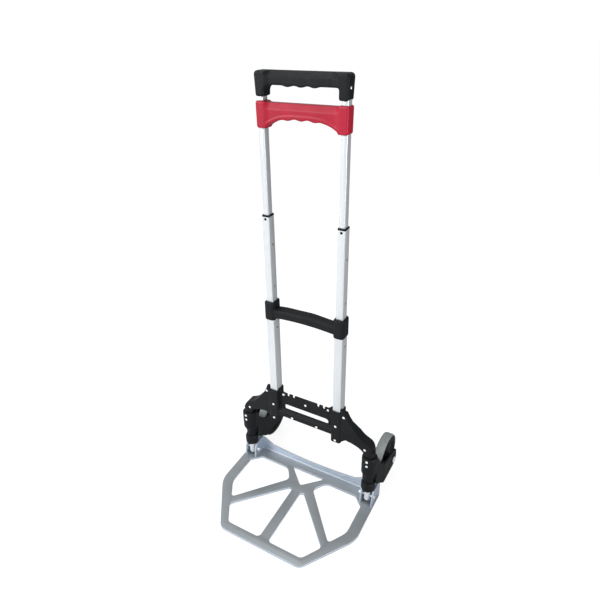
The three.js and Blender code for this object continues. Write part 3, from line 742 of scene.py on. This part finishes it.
def dress_lower_body():
    made = soften(remesh(copy_of("lower_body"), VOXEL), 5, 0.4)
    in_arm, over_body = 150, 300
    tools = []
    for name, side in SIDES:
        tube_bottom = box(f"outer_tube_{name}")[0].z
        post_top = box(f"post_{name}")[1].z
        tools.append(tube_cutter(side, OUTER_TUBE, tube_bottom - GAP, over_body))
        tools.append(post_cutter(side, in_arm, post_top + GAP))
    for node in frame["record"]["behaviour"]["bodies"]["frame"]:
        if node.startswith("rivet"):
            tools.append(rivet_seat(node, 1.1, 0.5))
    combine(made, tools, "DIFFERENCE")
    show(made, "lower_body_moulding", ["lower_body"], "frame", "black_plastic")


def dress_wheel_brackets():
    under_knuckle, over_knuckle = 60, 200
    for name, side in SIDES:
        bracket = f"wheel_bracket_{name}"
        made = soften(remesh(copy_of(bracket), VOXEL), 4, 0.45)
        tools = [post_cutter(side, under_knuckle, over_knuckle)]
        axle = (0, AXLE.y, AXLE.z)
        tools.append(rod_cutter(axle, (side, 0, 0), AXLE_RADIUS + GAP, *AXLE_HOLE))
        for level in ("upper", "lower"):
            tools.append(rivet_seat(f"rivet_bracket_{level}_{name}", 0.9, 0.6))
        combine(made, tools, "DIFFERENCE")
        show(made, bracket + "_moulding", [bracket], bracket, "black_plastic")


# ---- Posts, pins, rivets and screws ----

SLOT_LENGTH, SLOT_WIDTH, SLOT_FLOOR = 4, 0.7, 0.8  # each bar of the cross in a handle screw


def dress_post(name, middle):
    low, high = box(f"post_{name}")
    corners = [
        (0, low.z, 0), (POST_RADIUS, low.z, 4), (POST_RADIUS, high.z, 0), (0, high.z, 0),
    ]
    made = turned("post", corners, middle, UP)
    show(made, f"post_{name}_shaft", [f"post_{name}"], "frame", "bright_steel")


def dress_collar(name, middle):
    """The black collar on a post: narrow at its foot, then flaring, with a small step at its top."""
    low, high = box(f"post_collar_{name}")
    bore = POST_RADIUS + GAP
    outside = (high.x - low.x) / 2
    corners = [
        (bore, low.z, 0.3), (outside - 4.9, low.z, 0.6), (outside - 4.7, low.z + 1.6, 0.5),
        (outside - 1.2, low.z + 3.4, 1.2), (outside, low.z + 7.4, 3), (outside, high.z - 7, 3),
        (outside - 2.6, high.z - 1.5, 1), (outside - 2.6, high.z, 0.8), (bore, high.z, 0.3),
    ]
    made = turned("collar", corners, middle, UP)
    show(made, f"post_collar_{name}_moulding", [f"post_collar_{name}"], "frame", "black_plastic")


def dress_posts():
    for name, side in SIDES:
        middle = (side * POST.x, POST.y, 0)
        dress_post(name, middle)
        dress_collar(name, middle)


def dress_pins():
    """Hinge pins: a long inner head, a thin shaft through both ears and a peened outer head."""
    inner_ear, outer_ear = EAR_INNER - GAP, EAR_OUTER + GAP
    head = PIN_HEAD_RADIUS
    for name, side in SIDES:
        low, high = box(f"hinge_pin_{name}")
        start, end = sorted((abs(low.x), abs(high.x)))
        corners = [
            (0, start, 0), (head, start, 0.8), (head, inner_ear, 0.2), (PIN_RADIUS, inner_ear, 0),
            (PIN_RADIUS, outer_ear, 0), (head, outer_ear, 0.2), (head - 0.8, end, 0.8), (0, end, 0),
        ]
        made = turned("pin", corners, (0, PIN.y, PIN.z), (side, 0, 0), 40)
        show(made, f"hinge_pin_{name}_turned", [f"hinge_pin_{name}"], "frame", "bright_steel")


def blind_rivet(node, body):
    """A domed blind rivet with its broken-off mandrel in the middle."""
    low, high = box(node)
    radius = (high.x - low.x) / 2
    height = high.y - low.y
    corners = [
        (0, 0, 0), (radius, 0, 0.25), (radius * 0.93, height * 0.45, 0.7),
        (radius * 0.5, height, 0.4), (radius * 0.36, height, 0.12), (radius * 0.3, height * 0.62, 0),
        (radius * 0.22, height * 0.62, 0), (radius * 0.2, height * 0.86, 0.1), (0, height * 0.86, 0),
    ]
    middle = (centre(node).x, high.y, centre(node).z)
    made = turned(node, corners, middle, (0, -1, 0), 32, 4)
    show(made, node + "_head", [node], body, "bright_steel")


def dress_rivets():
    for body, nodes in frame["record"]["behaviour"]["bodies"].items():
        for node in nodes:
            if node.startswith("rivet"):
                blind_rivet(node, body)


def cross_bar(middle, side, turn):
    """A cutter for one bar of the cross in a screw's head."""
    half, half_width = SLOT_LENGTH / 2, SLOT_WIDTH / 2
    outline = rectangle(-half, half, -half_width, half_width)
    bar = slab("bar", outline, [], [(0, SLOT_FLOOR), (0, 3)], on_plan)
    outwards = Matrix.Rotation(side * math.pi / 2, 4, "Y")
    place = Matrix.Translation(Vector(middle) * MM)
    bar.matrix_world = place @ outwards @ Matrix.Rotation(turn, 4, "Z")
    bpy.context.view_layer.update()
    return bar


def dress_screws():
    for name, side in SIDES:
        node = f"handle_screw_{name}"
        low, high = box(node)
        seat, tip = sorted((abs(low.x), abs(high.x)))
        height = tip - seat
        radius = (high.z - low.z) / 2
        middle = (side * seat, centre(node).y, centre(node).z)
        corners = [
            (0, 0, 0), (radius, 0, 0.2), (radius, 0.9, 0.9), (radius * 0.6, height, 0.6), (0, height, 0),
        ]
        made = turned("screw", corners, middle, (side, 0, 0), 32)
        for turn in (0, math.pi / 2):
            combine(made, [cross_bar(middle, side, turn)], "DIFFERENCE")
        show(made, node + "_head", [node], "upper_stage", "bright_steel")


# ---- Wheels ----

GROOVE_DEPTH = 6  # how deep the tyre's foot sits in the hub's rim
HUB_BOSS, HUB_BOSS_FOOT = 12.5, 14
HUB_WEB_END, HUB_WEB_DEPTH = 40, 6
HUB_LIP = (46, 50, 51)  # radii of the flat lip round the web, and of the step outside it


def dress_tyre(name, middle, hub_half, rim):
    low, high = box(f"tyre_{name}")
    radius = (high.z - low.z) / 2
    half = (high.x - low.x) / 2
    foot = rim - GROOVE_DEPTH + GAP
    corners = two_sided([
        (foot, 4.4 - hub_half, 0), (rim + GAP, 3.4 - hub_half, 0.3), (rim + 0.8, 0.6 - half, 0.5),
        (radius - 1.2, -half, 1.6), (radius, 5.5 - half, 6),
    ])
    made = turned("tyre", corners, middle, (1, 0, 0), 120)
    show(made, f"tyre_{name}_rubber", [f"tyre_{name}"], f"wheel_{name}", "tyre_rubber")


def dress_hub(name, middle, half, rim):
    bore = AXLE_RADIUS + GAP
    web = HUB_WEB_DEPTH - half
    lip_start, lip_end, step = HUB_LIP
    corners = two_sided([
        (bore, -half, 0.3), (HUB_BOSS, -half, 1), (HUB_BOSS_FOOT, web, 1.5), (HUB_WEB_END, web, 4),
        (lip_start, 1.2 - half, 1), (lip_end, 1.2 - half, 0.6), (step, 1.9 - half, 0.4),
        (rim, 1.9 - half, 0.8), (rim, 3 - half, 0), (rim - GROOVE_DEPTH, 4 - half, 0),
    ])
    made = turned("hub", corners, middle, (1, 0, 0), 96)
    node = f"wheel_hub_{name}"
    show(made, node + "_moulding", [node], f"wheel_{name}", "black_plastic")


def dress_wheels():
    for name, side in SIDES:
        middle = Vector((side * AXLE.x, AXLE.y, AXLE.z))
        low, high = box(f"wheel_hub_{name}")
        hub_half = (high.x - low.x) / 2
        rim = (high.z - low.z) / 2
        dress_tyre(name, middle, hub_half, rim)
        dress_hub(name, middle, hub_half, rim)
        keep_cad(f"axle_{name}", "bright_steel")


# ---- Toe plate ----

BEND_Y = 27.8  # the flange's front face
PLATE_TOP, SHEET, LIP = 6, 2.6, 2.6
FLANGE_THICKNESS, FLANGE_REACH, FLANGE_SHOULDER = 3, 124, 150
FLANGE_MIDDLE_TOP, FLANGE_SIDE_TOP, FLANGE_END_TOP = 23, 30.5, 45.5
COVE_RADIUS = 3.2
PLATE_OUTLINE = [
    (108.6, PLATE_LOW.y, 25), (PLATE_HIGH.x, -120, 70), (PLATE_HIGH.x, BEND_Y, 0),
    (PLATE_LOW.x, BEND_Y, 0), (PLATE_LOW.x, -120, 70), (-108.6, PLATE_LOW.y, 25),
]
SIDE_OPENING = [
    (138, -156, 6), (165, -112, 40), (165, -27, 8), (141, -3.5, 8), (58, -3.5, 22), (35.5, -37, 13),
]
FRONT_OPENING = [(12, -220, 10), (101, -220, 14), (130, -175, 10), (12, -50.5, 7)]
BACK_OPENING = [(0, -41, 5), (48, 6, 3), (-48, 6, 3)]
EAR_OUTLINE = [
    (-16, 3, 0), (28.8, 3, 0), (28.8, 45.5, 0), (22, 49.5, 4), (-5, 49.5, 5), (-12, 35, 6),
]


def toe_sheet():
    """The pressed plate: a thin sheet whose outer edge and openings all have a rim turned down."""
    rounding = [(inset, height) for inset, height in soft_edges(0, PLATE_TOP, 1.1) if height > 0.5]
    rim = [(0.4, 0), (LIP - 0.4, 0), (LIP, 0.4)]
    underside = [(LIP, PLATE_TOP - SHEET)]
    openings = [
        SIDE_OPENING, mirrored(SIDE_OPENING), FRONT_OPENING, mirrored(FRONT_OPENING), BACK_OPENING,
    ]
    return slab("plate", PLATE_OUTLINE, openings, rounding + rim + underside, on_plan, 12)


def toe_flange():
    """The upright flange at the back. Its top dips in a shallow curve between its taller ends."""
    half, reach, shoulder = PLATE_HIGH.x, FLANGE_REACH, FLANGE_SHOULDER
    side, end = FLANGE_SIDE_TOP, FLANGE_END_TOP
    dip = []
    for step in range(1, 24):
        x = reach * (1 - step / 12)
        dip.append((x, FLANGE_MIDDLE_TOP + (side - FLANGE_MIDDLE_TOP) * (x / reach) ** 2, 0))
    outline = [
        (-half, 2, 0), (half, 2, 0), (half, end, 4), (shoulder, end, 8), (reach, side, 14),
        *dip, (-reach, side, 14), (-shoulder, end, 8), (-half, end, 4),
    ]
    return slab("flange", outline, [], soft_edges(BEND_Y, BEND_Y + FLANGE_THICKNESS, 0.9), on_front)


def toe_cove():
    """The rounded inner corner where the plate bends up into the flange."""
    inside, bottom, back = 26, 4, 28.3
    top = PLATE_TOP + COVE_RADIUS
    outline = [(inside, bottom, 0), (back, bottom, 0), (back, top, 0), (BEND_Y, top, 0)]
    steps = 6
    for step in range(steps + 1):
        angle = math.pi / 2 * step / steps
        y = BEND_Y - COVE_RADIUS * (1 - math.cos(angle))
        z = PLATE_TOP + COVE_RADIUS * (1 - math.sin(angle))
        outline.append((y, z, 0))
    outline.append((BEND_Y - COVE_RADIUS, bottom, 0))
    half = PLATE_HIGH.x
    return slab("cove", outline, [], [(0, 1 - half), (0, half - 1)], on_side)


def toe_ears():
    """The four hinge ears, two beside each post."""
    ears = []
    for _, side in SIDES:
        for start in (EAR_INNER, EAR_OUTER - EAR_THICKNESS):
            faces = sorted((side * start, side * (start + EAR_THICKNESS)))
            ears.append(slab("ear", EAR_OUTLINE, [], soft_edges(*faces, 0.7), on_side))
    return ears


def dress_toe_plate():
    made = toe_sheet()
    combine(made, [toe_flange(), toe_cove()] + toe_ears(), "UNION")
    holes = []
    for _, side in SIDES:
        span = (EAR_INNER - 5, EAR_OUTER + 5)
        holes.append(rod_cutter((0, PIN.y, PIN.z), (side, 0, 0), PIN_RADIUS + GAP, *span))
    combine(made, holes, "DIFFERENCE")
    show(made, "toe_plate_formed", ["toe_plate"], "toe_plate", "plate_metal", 30)


# ---- Studio ----

ROOM_DARK, ROOM_BRIGHT = 0.10, 0.93  # the room's light from behind, at the right, and from the front left
ROOM_COLOUR = (0.96, 0.985, 1, 1)
TOWARDS_ROOM_LIGHT = Vector((-0.62, -0.52, 0.58)).normalized()
FLOOR_GLOW, FLOOR_SHADOW = 0.86, 0.22  # to the eye: the paper's own light, and what its shadows take away
FLOOR_BOUNCE = (0.18, 0.74)  # how pale the floor is as a reflector, at the back right and at the front left
TOWARDS_PALE_FLOOR = (-0.77, -0.64, 0)
FLOOR_REACH = 30


def area_light(name, place, target, size, power):
    """A square lamp in metres and watts that looks at its target."""
    data = bpy.data.lights.new(name, "AREA")
    data.energy = power
    data.size = size
    made = bpy.data.objects.new(name, data)
    made.location = place
    made.rotation_euler = (Vector(target) - Vector(place)).to_track_quat("-Z", "Y").to_euler()
    bpy.context.scene.collection.objects.link(made)


def seen_and_unseen(tree, seen, unseen, output):
    """Shows one shader to the camera and lights the object with another."""
    path = tree.nodes.new("ShaderNodeLightPath")
    mix = tree.nodes.new("ShaderNodeMixShader")
    tree.links.new(path.outputs["Is Camera Ray"], mix.inputs["Fac"])
    tree.links.new(unseen, mix.inputs[1])
    tree.links.new(seen, mix.inputs[2])
    tree.links.new(mix.outputs["Shader"], output.inputs["Surface"])


def share_along(tree, vector, direction):
    """How far a vector reaches along a fixed direction."""
    node = tree.nodes.new("ShaderNodeVectorMath")
    node.operation = "DOT_PRODUCT"
    node.inputs[1].default_value = direction
    tree.links.new(vector, node.inputs[0])
    return node.outputs["Value"]


def studio_world():
    """White to the eye. As light it is brighter towards the front left and above."""
    world = bpy.data.worlds.new("studio")
    bpy.context.scene.world = world
    world.use_nodes = True
    tree = world.node_tree
    room = tree.nodes["Background"]
    direction = tree.nodes.new("ShaderNodeTexCoord").outputs["Generated"]
    facing = share_along(tree, direction, TOWARDS_ROOM_LIGHT)
    strength = map_range(tree, facing, -0.7, 0.9, ROOM_DARK, ROOM_BRIGHT)
    tree.links.new(strength, room.inputs["Strength"])
    room.inputs["Color"].default_value = ROOM_COLOUR
    backdrop = tree.nodes.new("ShaderNodeBackground")
    backdrop.inputs["Color"].default_value = (1, 1, 1, 1)
    output = tree.nodes["World Output"]
    seen_and_unseen(tree, backdrop.outputs["Background"], room.outputs["Background"], output)


def studio_floor():
    """A near-white floor that takes a faint shadow, and reflects less light at the back right."""
    mesh = bpy.data.meshes.new("floor")
    signs = ((-1, -1), (1, -1), (1, 1), (-1, 1))
    corners = [(x * FLOOR_REACH, y * FLOOR_REACH, 0) for x, y in signs]
    mesh.from_pydata(corners, [], [(0, 1, 2, 3)])
    floor = bpy.data.objects.new("floor", mesh)
    bpy.context.scene.collection.objects.link(floor)
    paper = bpy.data.materials.new("paper")
    paper.use_nodes = True
    tree = paper.node_tree
    tree.nodes.remove(tree.nodes["Principled BSDF"])
    bounce = tree.nodes.new("ShaderNodeBsdfDiffuse")
    place = tree.nodes.new("ShaderNodeTexCoord").outputs["Object"]
    forwards = share_along(tree, place, TOWARDS_PALE_FLOOR)
    paleness = map_range(tree, forwards, -0.5, 0.35, *FLOOR_BOUNCE)
    tree.links.new(paleness, bounce.inputs["Color"])
    shade = tree.nodes.new("ShaderNodeBsdfDiffuse")
    shade.inputs["Color"].default_value = (FLOOR_SHADOW, FLOOR_SHADOW, FLOOR_SHADOW, 1)
    glow = tree.nodes.new("ShaderNodeEmission")
    glow.inputs["Strength"].default_value = FLOOR_GLOW
    both = tree.nodes.new("ShaderNodeAddShader")
    tree.links.new(shade.outputs["BSDF"], both.inputs[0])
    tree.links.new(glow.outputs["Emission"], both.inputs[1])
    output = tree.nodes["Material Output"]
    seen_and_unseen(tree, both.outputs["Shader"], bounce.outputs["BSDF"], output)
    floor.data.materials.append(paper)


def studio():
    studio_world()
    studio_floor()
    area_light("key", (-1.5, -1.9, 1.5), (0, 0, 0.45), 1.4, 38)
    area_light("top", (-0.4, -0.2, 2.6), (0, 0, 0.3), 1.2, 14)
    area_light("side", (2.0, -0.45, 0.7), (0, 0, 0.5), 1.0, 26)


# ---- Camera: its place and aim, solved from the object's own perspective ----

CAMERA_PLACE = (0.46273, -0.83910, 1.07214)
CAMERA_YAW = math.radians(29.5807)
CAMERA_PITCH = math.radians(29.0243)
CAMERA_ROLL = math.radians(-1.0369)
CAMERA_LENS, CAMERA_SENSOR = 30.31, 36


def camera():
    data = bpy.data.cameras.new("camera")
    data.sensor_width = CAMERA_SENSOR
    data.lens = CAMERA_LENS
    made = bpy.data.objects.new("camera", data)
    bpy.context.scene.collection.objects.link(made)
    aim = (
        Matrix.Rotation(CAMERA_YAW, 4, "Z")
        @ Matrix.Rotation(math.pi / 2 - CAMERA_PITCH, 4, "X")
        @ Matrix.Rotation(CAMERA_ROLL, 4, "Z")
    )
    made.matrix_world = Matrix.Translation(CAMERA_PLACE) @ aim
    bpy.context.scene.camera = made
    bpy.context.scene.view_settings.view_transform = "Standard"


# ---- Assembly ----

dress_tubes()
dress_handle()
dress_grip()
dress_crossbar()
dress_lower_body()
dress_wheel_brackets()
dress_posts()
dress_pins()
dress_rivets()
dress_screws()
dress_wheels()
dress_toe_plate()
studio()
camera()
